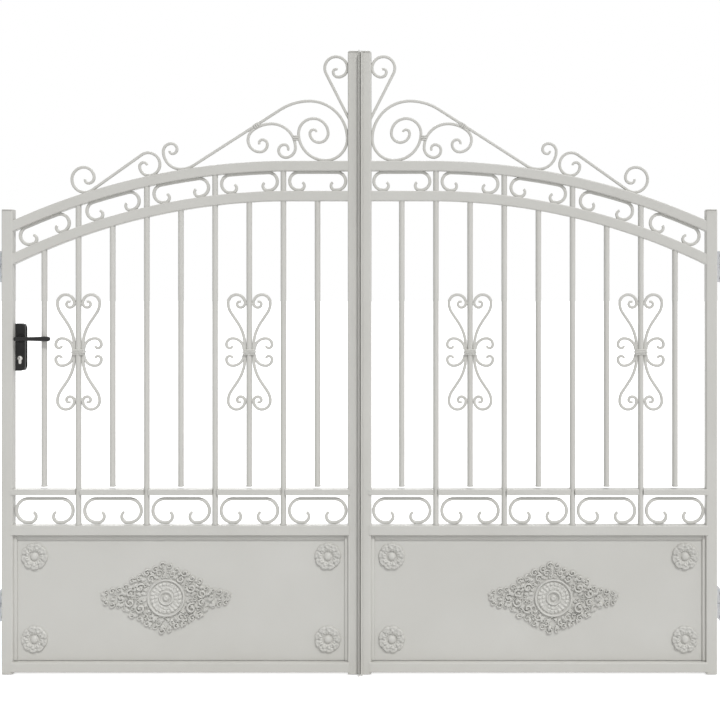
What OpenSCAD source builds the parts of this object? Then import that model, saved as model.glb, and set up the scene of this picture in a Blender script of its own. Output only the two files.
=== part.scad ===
// Double-leaf aluminium swing gate with arched top, scrollwork and solid lower panels.
//
// Each leaf hangs on two pintle hinges behind its outer stile and opens away from the front.
// X runs along the gate, Y from the front to the back, Z up. The origin lies on the wall face
// of the lower left hinge, level with the axis of its pin.

/* [Gate] */
// Width of the gate across both hinge stiles
gate_w = 2500; // [2200:10:3000]
// Height of the meeting stiles
meeting_h = 2184; // [2150:1:2300]
// Height of the hinge stiles
hinge_h = 1630; // [1610:1:1700]
// Gap between the two leaves
meeting_gap = 8; // [8:1:12]
// Gap from a hinge stile to the pillar beside it
hinge_gap = 28; // [28:1:45]
// Depth of the stiles from front to back
frame_d = 40; // [38:1:48]

/* [Frame profiles] */
// Face width of the stiles
stile_w = 34; // [32:1:40]
// Wall of the stile and rail tubes
tube_wall = 2; // [1.6:0.1:3]
// Radius of the tube corners
corner_r = 5; // [4:0.5:6]
// Set-back of the rails from the stile faces
rail_set = 2; // [1:0.5:4]
// Height of the bottom, panel and middle rails
rail_h = 40; // [36:1:44]
// Depth of the middle rail, which the balusters stand proud of
mid_rail_d = 20; // [18:1:22]
// Height of the two arched rails
arch_rail_h = 32; // [28:1:36]

/* [Levels] */
// Underside of the bottom rail above the foot of the stiles
bottom_z = 7; // [5:1:30]
// Underside of the rail over the panel
panel_rail_z = 486; // [440:1:500]
// Underside of the middle rail
mid_rail_z = 620; // [600:1:660]
// Top of the arched rail at the meeting stile
arch_z = 1798; // [1780:1:1810]

/* [Arch] */
// Outer radius of the arched rail
arch_r = 2350; // [2300:10:2500]
// Level stretch of the arch, measured from the middle of the gate
arch_flat = 246; // [200:1:260]
// Clear height of the scroll band between the arched rails
arch_band = 73; // [70:1:78]

/* [Balusters] */
// Number of balusters in a leaf, an odd number
baluster_count = 9; // [9]
// Diameter of a baluster
baluster_d = 20; // [18:1:22]
// Wall of a baluster tube
baluster_wall = 1.5; // [1.2:0.1:2]
// Distance of the balusters in front of the middle of the frame
baluster_forward = 4; // [2:0.5:5]

/* [Scrollwork] */
// Width of the bar in the two scroll bands
band_bar = 11; // [10:0.5:12]
// Width of the bar in the hearts and the crest
fine_bar = 10; // [9:0.5:10.5]
// Height of the heart ornament's collar above the foot of the stiles
heart_z = 1130; // [1100:1:1200]

/* [Panel] */
// Thickness of the panel
panel_t = 14; // [10:1:16]
// Set-back of the panel from the rail faces
panel_set = 18; // [16:1:20]
// Face width of the beads beside and over the panel
bead_w = 14; // [10:1:18]
// Distance of the beads' faces in front of the panel
bead_rise = 7; // [4:1:10]
// Distance of a corner rosette's middle from the frame
rosette_inset = 74; // [66:1:90]
// Outer diameter of a corner rosette
rosette_d = 94; // [80:1:100]
// Length of the middle ornament
ornament_w = 459; // [420:1:480]
// Height of the middle ornament
ornament_h = 255; // [235:1:265]
// Distance of the ornament towards the hinges from the middle of the panel
ornament_shift = 53; // [0:1:70]

/* [Hinges] */
// Level of the lower hinge above the foot of the stiles
lower_hinge_z = 230; // [150:5:330]
// Level of the upper hinge above the foot of the stiles
upper_hinge_z = 1430; // [1300:5:1500]
// Distance of the pivot behind the frame
pivot_back = 16; // [16:1:20]
// Diameter of the hinge pin
pin_d = 14; // [12:1:16]

/* [Lock] */
// Level of the lever's spindle above the foot of the stiles
spindle_z = 1177; // [1120:1:1200]
// Distance from the spindle down to the cylinder
cylinder_drop = 70; // [68:1:74]
// Length of the lever from the spindle
lever_l = 118; // [110:1:124]

/* [Hidden] */

FINISH = "#c8c6c1";
BLACK = "#242422";
STEEL = "#a9a9a7";

// Leaf frame: x from the hinge stile's outer face, y = 0 on the pivot, z from the stile's foot.
leaf_w = (gate_w - meeting_gap) / 2;
half_w = gate_w / 2;
opening_w = gate_w + 2 * hinge_gap;
clear_x0 = stile_w;
clear_x1 = leaf_w - stile_w;
clear_w = clear_x1 - clear_x0;
back_y = -pivot_back;
front_y = back_y - frame_d;
mid_y = (front_y + back_y) / 2;
rail_d = frame_d - 2 * rail_set;
pivot_x = stile_w / 2;
cap_t = 3;

// The arcs of both arched rails share one centre.
arch_cx = half_w - arch_flat;
arch_cz = arch_z - arch_r;
lower_top_r = arch_r - arch_rail_h - arch_band;
lower_bottom_r = lower_top_r - arch_rail_h;
arch_fn = 720;

bar_gap = (clear_w - baluster_count * baluster_d) / (baluster_count + 1);
pitch = bar_gap + baluster_d;
baluster_y = mid_y - baluster_forward;
panel_front = mid_y - rail_d / 2 + panel_set;
rail_top = bottom_z + rail_h;
panel_mid_z = (rail_top + panel_rail_z) / 2;
band_z0 = panel_rail_z + rail_h;
mid_rail_top = mid_rail_z + rail_h;

// Pivot hardware
plate_t = 6;
plate_w = 80;
plate_h = 110;
plate_y0 = -14;
bolt_d = 11;
bolt_dy = 50;
bolt_dz = 80;
arm_t = 12;
arm_r = 11;
eye_r = 12;
eye_h = 40;
eye_lift = 1;
pin_clear = 0.05;
wall_pivot_x = hinge_gap + pivot_x;

// Lock
lock_w = 41;
lock_h = 174;
lock_plate_t = 3;
lock_case_t = 20;
lock_front = front_y + 28;
lock_case_y = lock_front + lock_plate_t;
lock_back = lock_case_y + lock_case_t + lock_plate_t;
spindle_x = stile_w + 20;
plate_below = 118;
neck_d = 16;
ring_d = 28;
ring_t = 3;
grip_tip_r = 9;
grip_y_front = baluster_y - baluster_d / 2 - 5.5 - grip_tip_r;

// ---- helpers -------------------------------------------------------------------------------

// Centre of baluster i, counted from the hinge stile, with equal clear gaps between all the bars
function bar_x(i) = clear_x0 + i * pitch - baluster_d / 2;

// Height of the arc of radius r above the stile's foot, at x in the leaf frame
function arc_z(x, r) = arch_cz + (x < arch_cx ? sqrt(r * r - pow(arch_cx - x, 2)) : r);

// Centre line of a bar as a chain of [length, 0] straights and [radius, angle] bends, turned
// left for positive angles. Each point is [x, z, heading].
function trail(chain, x, z, h, i = 0) =
    i == len(chain) ? [] :
    let (
        r = chain[i][0],
        a = chain[i][1],
        n = max(1, ceil(abs(a) / 15)),
        s = sign(a),
        pts = [for (k = [1 : n]) let (t = h + a * k / n)
            a == 0 ? [x + r * cos(h), z + r * sin(h), h]
                   : [x + s * r * (sin(t) - sin(h)), z - s * r * (cos(t) - cos(h)), t]],
        last = pts[n - 1]
    )
    concat(pts, trail(chain, last[0], last[1], last[2], i + 1));

function side_points(line, off) =
    [for (p = line) [p[0] - off * sin(p[2]), p[1] + off * cos(p[2])]];

function reversed(list) = [for (i = [len(list) - 1 : -1 : 0]) list[i]];

// Closed outline of a bar of width w along a chain
function bar_outline(chain, x, z, h, w) =
    let (line = concat([[x, z, h]], trail(chain, x, z, h)))
    concat(side_points(line, w / 2), reversed(side_points(line, -w / 2)));

function mirrored(pts) = [for (p = pts) [-p[0], p[1]]];

// Flat outlines are drawn in x and z, and extruded about the plane y = at.
module upright(depth, at) {
    translate([0, at + depth / 2, 0])
        rotate([90, 0, 0])
            linear_extrude(height = depth)
                children();
}

module bar(chain, x, z, h, w) {
    polygon(bar_outline(chain, x, z, h, w));
}

module rounded(w, d, r) {
    translate([r, 0]) square([w - 2 * r, d]);
    translate([0, r]) square([w, d - 2 * r]);
    for (x = [r, w - r], y = [r, d - r])
        translate([x, y]) circle(r = r, $fn = 32);
}

// Section of a tube, with its lower left corner at the origin
module tube_section(w, d) {
    difference() {
        rounded(w, d, corner_r);
        translate([tube_wall, tube_wall])
            rounded(w - 2 * tube_wall, d - 2 * tube_wall, corner_r - tube_wall);
    }
}

// Level tube from x0 to x1 with its underside at z0
module level_tube(x0, x1, z0, h, depth) {
    translate([x0, mid_y - depth / 2, z0])
        rotate([90, 0, 90])
            linear_extrude(height = x1 - x0)
                tube_section(depth, h);
}

module stile_tube(x0, h) {
    translate([x0, front_y, cap_t])
        linear_extrude(height = h - 2 * cap_t)
            tube_section(stile_w, frame_d);
}

module on_left() {
    translate([hinge_gap, 0, -lower_hinge_z]) children();
}

module on_right() {
    translate([opening_w - hinge_gap, 0, -lower_hinge_z]) mirror([1, 0, 0]) children();
}

// ---- hinges --------------------------------------------------------------------------------

// Plate on the pillar, arm and upright pin of one hinge
module wall_hinge() {
    difference() {
        translate([0, plate_y0, -plate_h / 2]) cube([plate_t, plate_w, plate_h]);
        for (dy = [-1, 1], dz = [-1, 1])
            translate([-1, plate_y0 + plate_w / 2 + dy * bolt_dy / 2, dz * bolt_dz / 2])
                rotate([0, 90, 0])
                    cylinder(d = bolt_d, h = plate_t + 2, $fn = 48);
    }
    translate([plate_t - 1, -arm_r, -arm_t / 2])
        cube([wall_pivot_x - plate_t + 1, 2 * arm_r, arm_t]);
    translate([wall_pivot_x, 0, -arm_t / 2])
        cylinder(r = arm_r, h = arm_t, $fn = 64);
    translate([wall_pivot_x, 0, 0])
        cylinder(d = pin_d, h = arm_t / 2 + eye_lift + eye_h + 4, $fn = 64);
}

// Two wall hinges of one side, one above the other
module wall_hinges() {
    color(STEEL)
        for (z = [0, upper_hinge_z - lower_hinge_z])
            translate([0, 0, z]) wall_hinge();
}

// Barrel on the pin with its strap on the back of the stile
module hinge_eye() {
    difference() {
        union() {
            cylinder(r = eye_r, h = eye_h, $fn = 64);
            translate([-8, back_y, 5]) cube([16, pivot_back, eye_h - 10]);
            translate([-14, back_y, 5]) cube([28, 4, 60]);
        }
        translate([0, 0, -1])
            cylinder(d = pin_d + 2 * pin_clear, h = eye_h + 2, $fn = 64);
    }
}

module hinge_eyes() {
    color(STEEL)
        for (z = [lower_hinge_z, upper_hinge_z])
            translate([pivot_x, 0, z + arm_t / 2 + eye_lift]) hinge_eye();
}

// ---- frame of a leaf -----------------------------------------------------------------------

module hinge_stile() {
    color(FINISH) stile_tube(0, hinge_h);
}

module meeting_stile() {
    color(FINISH) stile_tube(clear_x1, meeting_h);
}

module stile_cap() {
    linear_extrude(height = cap_t) rounded(stile_w, frame_d, corner_r);
}

module stile_caps() {
    color(FINISH)
        for (z = [0, hinge_h - cap_t])
            translate([0, front_y, z]) stile_cap();
    color(FINISH)
        for (z = [0, meeting_h - cap_t])
            translate([clear_x1, front_y, z]) stile_cap();
}

module bottom_rail() {
    color(FINISH) level_tube(clear_x0, clear_x1, bottom_z, rail_h, rail_d);
}

module panel_rail() {
    color(FINISH) level_tube(clear_x0, clear_x1, panel_rail_z, rail_h, rail_d);
}

// Middle rail in lengths between the long balusters
module mid_rail() {
    color(FINISH)
        for (i = [0 : 2 : baluster_count])
            level_tube(
                clear_x0 + i * pitch,
                clear_x0 + (i + 2) * pitch - baluster_d,
                mid_rail_z, rail_h, mid_rail_d);
}

// Arched rail whose top has radius r: an arc from the hinge stile, then a level stretch
module arched_rail(r) {
    intersection() {
        translate([arch_cx, mid_y, arch_cz])
            rotate([90, 0, 0])
                rotate_extrude(angle = 60, start = 90, $fn = arch_fn)
                    translate([r - arch_rail_h, -rail_d / 2])
                        tube_section(arch_rail_h, rail_d);
        translate([clear_x0, front_y, 0]) cube([clear_w, frame_d, meeting_h]);
    }
    level_tube(arch_cx, clear_x1, arch_cz + r - arch_rail_h, arch_rail_h, rail_d);
}

module lower_arch() {
    color(FINISH) arched_rail(lower_top_r);
}

module top_arch() {
    color(FINISH) arched_rail(arch_r);
}

// ---- balusters -----------------------------------------------------------------------------

// Round tube of one baluster between two levels
module baluster_tube(i, z0, z1) {
    translate([bar_x(i), baluster_y, z0])
        difference() {
            cylinder(d = baluster_d, h = z1 - z0, $fn = 48);
            translate([0, 0, -1])
                cylinder(d = baluster_d - 2 * baluster_wall, h = z1 - z0 + 2, $fn = 48);
        }
}

// Solid under an arc of radius r, with its level stretch
module arc_area(r) {
    intersection() {
        translate([arch_cx, arch_cz]) circle(r = r, $fn = arch_fn);
        square([arch_cx, meeting_h]);
    }
    translate([arch_cx, 0]) square([leaf_w - arch_cx, arch_cz + r]);
}

module below_arc(r) {
    upright(frame_d, mid_y) arc_area(r);
}

module short_balusters() {
    color(FINISH)
        intersection() {
            union() {
                for (i = [1 : 2 : baluster_count])
                    baluster_tube(i, mid_rail_top, arch_z);
            }
            below_arc(lower_bottom_r);
        }
}

// Long balusters from the panel rail to the lower arch, and their ends between the arches
module long_balusters() {
    color(FINISH) {
        intersection() {
            union() {
                for (i = [2 : 2 : baluster_count])
                    baluster_tube(i, band_z0, arch_z);
            }
            below_arc(lower_bottom_r);
        }
        difference() {
            intersection() {
                union() {
                    for (i = [2 : 2 : baluster_count])
                        baluster_tube(i, mid_rail_z, arch_z);
                }
                below_arc(arch_r - arch_rail_h);
            }
            below_arc(lower_top_r);
        }
    }
}

// ---- panel ---------------------------------------------------------------------------------

module panel() {
    color(FINISH)
        translate([clear_x0, panel_front, rail_top])
            cube([clear_w, panel_t, panel_rail_z - rail_top]);
}

// Beads on both ends and along the top of the panel's face, cut with a hairline joint
module panel_beads() {
    joint = 0.4;
    color(FINISH)
        upright(bead_rise, panel_front - bead_rise / 2) {
            for (x = [clear_x0, clear_x1 - bead_w])
                translate([x, rail_top]) square([bead_w, panel_rail_z - rail_top]);
            translate([clear_x0 + bead_w + joint, panel_rail_z - bead_w])
                square([clear_w - 2 * (bead_w + joint), bead_w]);
        }
}

// Rosette with eight lobes, a ring and a boss, standing on the panel
module rosette() {
    lobes = 8;
    lobe_r = rosette_d * 0.17;
    upright(5, panel_front - 2.5) {
        circle(r = rosette_d * 0.36, $fn = 64);
        for (i = [0 : lobes - 1])
            rotate(i * 360 / lobes)
                translate([rosette_d / 2 - lobe_r, 0]) circle(r = lobe_r, $fn = 32);
    }
    upright(9, panel_front - 4.5)
        difference() {
            circle(r = rosette_d * 0.3, $fn = 64);
            circle(r = rosette_d * 0.2, $fn = 64);
        }
    upright(11, panel_front - 5.5) circle(r = rosette_d * 0.12, $fn = 48);
}

module corner_rosettes() {
    color(FINISH)
        for (x = [clear_x0 + rosette_inset, clear_x1 - rosette_inset],
             z = [rail_top + rosette_inset, panel_rail_z - rosette_inset])
            translate([x, 0, z]) rosette();
}

// Lozenge of leaves around a ring with a flower and a boss
module centre_ornament() {
    ring_r = ornament_w * 0.146;
    lobe_r = ornament_h * 0.075;
    color(FINISH)
        translate([(clear_x0 + clear_x1) / 2 - ornament_shift, 0, panel_mid_z]) {
            upright(5, panel_front - 2.5) {
                polygon([
                    [-ornament_w / 2, -lobe_r], [0, -ornament_h / 2 + lobe_r],
                    [ornament_w / 2, -lobe_r], [ornament_w / 2, lobe_r],
                    [0, ornament_h / 2 - lobe_r], [-ornament_w / 2, lobe_r]]);
                for (t = [0 : 0.25 : 0.75], sx = [-1, 1], sz = [-1, 1])
                    translate([
                        sx * t * (ornament_w / 2 - lobe_r),
                        sz * (1 - t) * (ornament_h / 2 - lobe_r)])
                        circle(r = lobe_r, $fn = 32);
            }
            upright(10, panel_front - 5)
                difference() {
                    circle(r = ring_r, $fn = 96);
                    circle(r = ring_r * 0.86, $fn = 96);
                }
            upright(9, panel_front - 4.5) circle(r = ring_r * 0.6, $fn = 64);
            upright(12, panel_front - 6) circle(r = ring_r * 0.27, $fn = 48);
        }
}

// ---- scrollwork ----------------------------------------------------------------------------

// Half of a band scroll: straight top, round end and inward curl, for a band of height h
function band_chain(length, h) =
    let (r = (h - band_bar) / 2, curl = r * 0.51)
    [[length / 2 - h / 2, 0], [r, -180], [r * 0.15, 0], [curl, -90], [curl * 0.8, -60]];

function band_scroll(length, h) =
    let (
        z = h - band_bar / 2,
        line = concat([[0, z, 0]], trail(band_chain(length, h), 0, z, 0)),
        outer = side_points(line, band_bar / 2),
        inner = side_points(line, -band_bar / 2)
    )
    concat(outer, reversed(inner), mirrored(inner), reversed(mirrored(outer)));

module lower_scrolls() {
    scroll_l = 2 * pitch - baluster_d - 10;
    color(FINISH)
        upright(band_bar, mid_y)
            for (i = [1 : 2 : baluster_count])
                translate([bar_x(i), band_z0])
                    polygon(band_scroll(scroll_l, mid_rail_z - band_z0));
}

// Band scroll bent to the arch about x = at: its points become heights over the lower arch.
// Past the arc the arch is level, so there the points stay as they are.
function on_arch(pts, at) =
    let (a0 = at < arch_cx ? asin((arch_cx - at) / (lower_top_r + arch_band / 2)) : 0)
    [for (p = pts)
        let (
            r = lower_top_r + p[1],
            a = a0 - p[0] / (lower_top_r + arch_band / 2) * 180 / PI
        )
        at < arch_cx && a > 0
            ? [arch_cx - r * sin(a), arch_cz + r * cos(a)]
            : [arch_cx - a * PI / 180 * (lower_top_r + arch_band / 2) + (at < arch_cx ? 0 : at - arch_cx),
               arch_cz + r]];

module arch_scrolls() {
    color(FINISH)
        upright(band_bar, mid_y)
            for (i = [1 : 2 : baluster_count])
                let (
                    at = bar_x(i),
                    slope = at < arch_cx ? asin((arch_cx - at) / lower_top_r) : 0
                )
                polygon(on_arch(
                    band_scroll((2 * pitch - baluster_d) * cos(slope) - 12, arch_band), at));
}

// One quarter of a heart ornament, above and right of its collar
module heart_quarter() {
    start = (baluster_d + fine_bar) / 2;
    bar([[19, 0], [152, -34], [40, 0], [62, 34], [29.5, 180], [15.5, 90], [12, 90], [8, 90], [6, 0]],
        start, 0, 90, fine_bar);
    bar([[39, -90], [22, -90], [12, -90], [9, -80]], start + 4, 9, 90, fine_bar);
}

module heart_ornament() {
    for (sx = [0, 1], sz = [0, 1])
        mirror([sx, 0]) mirror([0, sz]) heart_quarter();
}

// Hearts and their collars on the second and the seventh baluster from the hinge
module heart_scrolls() {
    color(FINISH)
        for (i = [2, baluster_count - 2])
            translate([bar_x(i), 0, heart_z])
                difference() {
                    union() {
                        upright(fine_bar, baluster_y) heart_ornament();
                        upright(baluster_d + 8, baluster_y) square([46, 19], center = true);
                    }
                    translate([0, baluster_y, -300]) cylinder(d = baluster_d, h = 600, $fn = 48);
                }
}

// Crest: a small and a large S scroll, a C scroll under the large one, and the finial scroll
module crest_outlines() {
    small_x = half_w - 965;
    small_z = arc_z(small_x, arch_r) + fine_bar / 2;
    large_x = half_w - 628;
    large_z = arc_z(large_x, arch_r) + fine_bar / 2;
    bar([[42, 35.4], [214, 0], [40, -35.4], [41, -90], [39, -90], [32, -90], [14, -90], [12, -80]],
        small_x, small_z, 0, fine_bar);
    bar([[46, -90], [42, -90], [36, -90], [20, -90], [12, -100]], small_x, small_z, 180, fine_bar);
    bar([[80, 32.7], [364, 0], [189, -32.7], [132.4, -90], [76, -90], [95, -90], [52, -90],
         [52, -90], [32, -90], [32, -90], [13, -90], [10, -80]],
        large_x, large_z, 0, fine_bar);
    bar([[62, -90], [28, -90], [20, -90], [16, -90], [10, -90]], large_x, large_z, 180, fine_bar);
    bar([[84, -90], [34, -90], [25, -90], [20, -90], [14, -120]], half_w - 310, 1928, 0, fine_bar);
    bar([[105, 40], [42, 50], [42, 90], [26, 90], [17, 90], [12, 110]], half_w - 310, 1928, 180,
        fine_bar);
    bar([[178, 0], [42, -26.9], [40, -90], [39.7, -90], [32, -90], [18, -90], [10, -120]],
        clear_x1, 1946, 116.9, fine_bar);
    translate([half_w - 362, 1922]) rotate(33) square([18, 22], center = true);
    translate([half_w - 225, 1878]) square([22, 18], center = true);
}

module crest_scrolls() {
    color(FINISH)
        upright(fine_bar, mid_y)
            difference() {
                intersection() {
                    crest_outlines();
                    square([clear_x1, meeting_h]);
                }
                arc_area(arch_r);
            }
}

// ---- meeting strip and lock ----------------------------------------------------------------

// Angle strip on the right leaf's meeting stile, standing clear of the left leaf
module cover_strip() {
    strip_w = 26;
    strip_t = 3;
    strip_gap = 5.5;
    color(FINISH)
        translate([opening_w / 2, front_y, -lower_hinge_z]) {
            translate([-strip_w / 2, -strip_gap - strip_t, 0]) cube([strip_w, strip_t, meeting_h]);
            translate([meeting_gap / 2, -strip_gap - 1, 0])
                cube([strip_w / 2 - meeting_gap / 2, strip_gap + 1, meeting_h]);
        }
}

module lock_case() {
    color(FINISH)
        difference() {
            translate([stile_w, lock_case_y, spindle_z - plate_below + 4])
                cube([lock_w - 4, lock_case_t, lock_h - 8]);
            translate([spindle_x, lock_case_y - 1, spindle_z])
                rotate([-90, 0, 0]) cylinder(d = neck_d + 4, h = lock_case_t + 2, $fn = 64);
            translate([spindle_x, lock_case_y - 1, spindle_z - cylinder_drop])
                rotate([-90, 0, 0]) cylinder(d = 17, h = lock_case_t + 2, $fn = 48);
            translate([spindle_x - 5, lock_case_y - 1, spindle_z - cylinder_drop - 20])
                cube([10, lock_case_t + 2, 20]);
        }
}

// Outline of a lock plate: square at the stile, round at the free corners
module lock_outline() {
    r = 16;
    difference() {
        union() {
            square([lock_w - r, lock_h]);
            translate([0, r]) square([lock_w, lock_h - 2 * r]);
            for (z = [r, lock_h - r])
                translate([lock_w - r, z]) circle(r = r, $fn = 64);
        }
        translate([spindle_x - stile_w, plate_below]) circle(d = neck_d + 2 * pin_clear, $fn = 64);
        translate([spindle_x - stile_w, plate_below - cylinder_drop]) {
            circle(d = 17, $fn = 48);
            translate([-5, -20]) square([10, 20]);
        }
    }
}

module lock_plates() {
    color(BLACK)
        for (y = [lock_front + lock_plate_t / 2, lock_back - lock_plate_t / 2]) {
            translate([stile_w, 0, spindle_z - plate_below])
                upright(lock_plate_t, y) lock_outline();
        }
    color(BLACK)
        for (y = [lock_front - ring_t / 2, lock_back + ring_t / 2])
            translate([spindle_x, 0, spindle_z])
                upright(ring_t, y)
                    difference() {
                        circle(d = ring_d, $fn = 64);
                        circle(d = neck_d + 2 * pin_clear, $fn = 64);
                    }
}

// Profile cylinder: a round barrel above a narrower foot
module lock_cylinder() {
    reach = 2;
    color(STEEL)
        translate([spindle_x, 0, spindle_z - cylinder_drop])
            upright(lock_back - lock_front + 2 * reach, (lock_front + lock_back) / 2) {
                circle(d = 17, $fn = 48);
                translate([-5, -20]) square([10, 20]);
            }
}

// Lever grip as a turned bar from the spindle, thicker towards the tip
module grip() {
    rotate([0, 90, 0])
        rotate_extrude($fn = 64)
            polygon([
                [0, -8], [6.5, -8], [7.5, 4], [6.5, 22], [8.4, lever_l - 30], [9, lever_l - 14],
                [8, lever_l - 5], [5, lever_l - 1], [0, lever_l]]);
}

// Front lever; its spindle stops just proud of the back plate's ring
module lever_handle() {
    color(BLACK)
        translate([spindle_x, 0, spindle_z]) {
            translate([0, grip_y_front, 0]) grip();
            translate([0, grip_y_front, 0])
                rotate([-90, 0, 0])
                    cylinder(d = neck_d - 3, h = lock_front - grip_y_front, $fn = 64);
            translate([0, lock_front - ring_t - 1, 0])
                rotate([-90, 0, 0])
                    cylinder(d = neck_d, h = lock_back - lock_front + 2 * ring_t + 2, $fn = 64);
        }
}

// ---- nodes ---------------------------------------------------------------------------------

wall_hinges();  // left_wall_hinges
translate([opening_w, 0, 0]) mirror([1, 0, 0]) wall_hinges();  // right_wall_hinges
on_left() hinge_eyes();  // left_hinge_eyes
on_left() hinge_stile();  // left_hinge_stile
on_left() meeting_stile();  // left_meeting_stile
on_left() stile_caps();  // left_stile_caps
on_left() bottom_rail();  // left_bottom_rail
on_left() panel_rail();  // left_panel_rail
on_left() mid_rail();  // left_mid_rail
on_left() lower_arch();  // left_lower_arch
on_left() top_arch();  // left_top_arch
on_left() short_balusters();  // left_short_balusters
on_left() long_balusters();  // left_long_balusters
on_left() panel();  // left_panel
on_left() panel_beads();  // left_panel_beads
on_left() corner_rosettes();  // left_corner_rosettes
on_left() centre_ornament();  // left_centre_ornament
on_left() lower_scrolls();  // left_lower_scrolls
on_left() arch_scrolls();  // left_arch_scrolls
on_left() heart_scrolls();  // left_heart_scrolls
on_left() crest_scrolls();  // left_crest_scrolls
on_right() hinge_eyes();  // right_hinge_eyes
on_right() hinge_stile();  // right_hinge_stile
on_right() meeting_stile();  // right_meeting_stile
on_right() stile_caps();  // right_stile_caps
on_right() bottom_rail();  // right_bottom_rail
on_right() panel_rail();  // right_panel_rail
on_right() mid_rail();  // right_mid_rail
on_right() lower_arch();  // right_lower_arch
on_right() top_arch();  // right_top_arch
on_right() short_balusters();  // right_short_balusters
on_right() long_balusters();  // right_long_balusters
on_right() panel();  // right_panel
on_right() panel_beads();  // right_panel_beads
on_right() corner_rosettes();  // right_corner_rosettes
on_right() centre_ornament();  // right_centre_ornament
on_right() lower_scrolls();  // right_lower_scrolls
on_right() arch_scrolls();  // right_arch_scrolls
on_right() heart_scrolls();  // right_heart_scrolls
on_right() crest_scrolls();  // right_crest_scrolls
cover_strip();
on_left() lock_case();
on_left() lock_plates();
on_left() lock_cylinder();
on_left() lever_handle();
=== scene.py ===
import math
import random

import bmesh
import bpy
from mathutils import Matrix, Vector


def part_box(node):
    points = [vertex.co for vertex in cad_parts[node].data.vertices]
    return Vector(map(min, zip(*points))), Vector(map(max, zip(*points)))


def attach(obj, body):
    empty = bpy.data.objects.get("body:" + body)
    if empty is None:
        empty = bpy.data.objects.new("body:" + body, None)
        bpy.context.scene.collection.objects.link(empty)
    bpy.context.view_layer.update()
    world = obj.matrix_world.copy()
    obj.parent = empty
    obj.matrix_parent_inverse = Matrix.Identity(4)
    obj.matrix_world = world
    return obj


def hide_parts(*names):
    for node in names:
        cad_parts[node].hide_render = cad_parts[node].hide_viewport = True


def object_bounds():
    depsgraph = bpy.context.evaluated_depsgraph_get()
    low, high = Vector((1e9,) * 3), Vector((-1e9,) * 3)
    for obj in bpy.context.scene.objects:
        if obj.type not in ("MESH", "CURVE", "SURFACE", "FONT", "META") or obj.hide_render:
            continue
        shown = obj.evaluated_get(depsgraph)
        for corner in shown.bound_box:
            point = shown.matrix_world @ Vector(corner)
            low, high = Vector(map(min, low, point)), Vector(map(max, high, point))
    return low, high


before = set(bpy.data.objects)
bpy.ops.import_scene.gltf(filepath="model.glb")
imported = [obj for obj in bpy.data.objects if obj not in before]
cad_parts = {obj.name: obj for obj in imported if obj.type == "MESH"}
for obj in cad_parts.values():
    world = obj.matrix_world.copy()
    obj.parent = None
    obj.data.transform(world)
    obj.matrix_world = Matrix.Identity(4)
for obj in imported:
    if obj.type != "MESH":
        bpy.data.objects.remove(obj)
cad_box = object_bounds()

# ---- Camera ----------------------------------------------------------------------------------
# A level camera at breast height, a little right of the gate's middle. The upright bars stay
# upright because it isn't tilted, so the lens is shifted onto the gate instead.

def added(name, data):
    """A new object in the scene."""
    made = bpy.data.objects.new(name, data)
    bpy.context.scene.collection.objects.link(made)
    return made


camera_data = bpy.data.cameras.new("camera")
camera_data.type = "PERSP"
camera_data.sensor_width = 36
camera_data.lens = 60.07
camera_data.shift_x = -0.127
camera_data.shift_y = -0.118
camera = added("camera", camera_data)
camera.location = (1.600, -4.256, 1.170)
camera.rotation_euler = (math.radians(90), 0, 0)
bpy.context.scene.camera = camera
bpy.context.scene.view_settings.view_transform = "Standard"

# ---- Floor and light -------------------------------------------------------------------------
# A pale studio floor runs out to the horizon under the gate's feet. A broad lamp high on the right
# gives the tubes their bright and dark sides, and the pale surroundings fill the rest.


class Tones:
    """A node tree being wired up, by material or by world."""

    def __init__(self, owner):
        owner.use_nodes = True
        self.owner = owner
        self.tree = owner.node_tree
        self.tree.nodes.clear()

    def node(self, kind, settings=None, **sockets):
        made = self.tree.nodes.new(kind)
        for key, value in (settings or {}).items():
            if key == "stops":
                ramp = made.color_ramp
                while len(ramp.elements) < len(value):
                    ramp.elements.new(0.5)
                for element, (place, colour) in zip(ramp.elements, value):
                    element.position = place
                    element.color = colour
            else:
                setattr(made, key, value)
        for key, value in sockets.items():
            at = int(key[1:]) if key[1:].isdigit() else key.replace("_", " ")
            socket = made.inputs[at]
            if isinstance(value, Signal):
                self.tree.links.new(value.socket, socket)
            else:
                socket.default_value = value
        return made

    def signal(self, kind, output, settings=None, **sockets):
        return Signal(self, self.node(kind, settings, **sockets).outputs[output])

    def noise(self, place, scale, detail):
        return self.signal("ShaderNodeTexNoise", "Fac", Vector=place, Scale=scale, Detail=detail)

    def blend(self, share, first, second):
        """Goes from one colour to another."""
        return self.signal("ShaderNodeMix", 2, {"data_type": "RGBA"}, _0=share, _6=first, _7=second)

    def finish(self, **looks):
        """Closes a material with one Principled BSDF."""
        self.node("ShaderNodeOutputMaterial",
                  Surface=self.signal("ShaderNodeBsdfPrincipled", 0, **looks))
        return self.owner


class Signal:
    """One output of a node. Sums and products of signals add their Math nodes."""

    def __init__(self, tones, socket):
        self.tones = tones
        self.socket = socket

    def math(self, operation, first, second):
        return self.tones.signal("ShaderNodeMath", 0, {"operation": operation}, _0=first, _1=second)

    def __add__(self, other):
        return self.math("ADD", self, other)

    def __radd__(self, other):
        return self.math("ADD", other, self)

    def __sub__(self, other):
        return self.math("SUBTRACT", self, other)

    def __rsub__(self, other):
        return self.math("SUBTRACT", other, self)

    def __mul__(self, other):
        return self.math("MULTIPLY", self, other)

    def __rmul__(self, other):
        return self.math("MULTIPLY", other, self)

    def __gt__(self, other):
        return self.math("GREATER_THAN", self, other)

    def most(self, other):
        return self.math("MAXIMUM", self, other)


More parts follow.
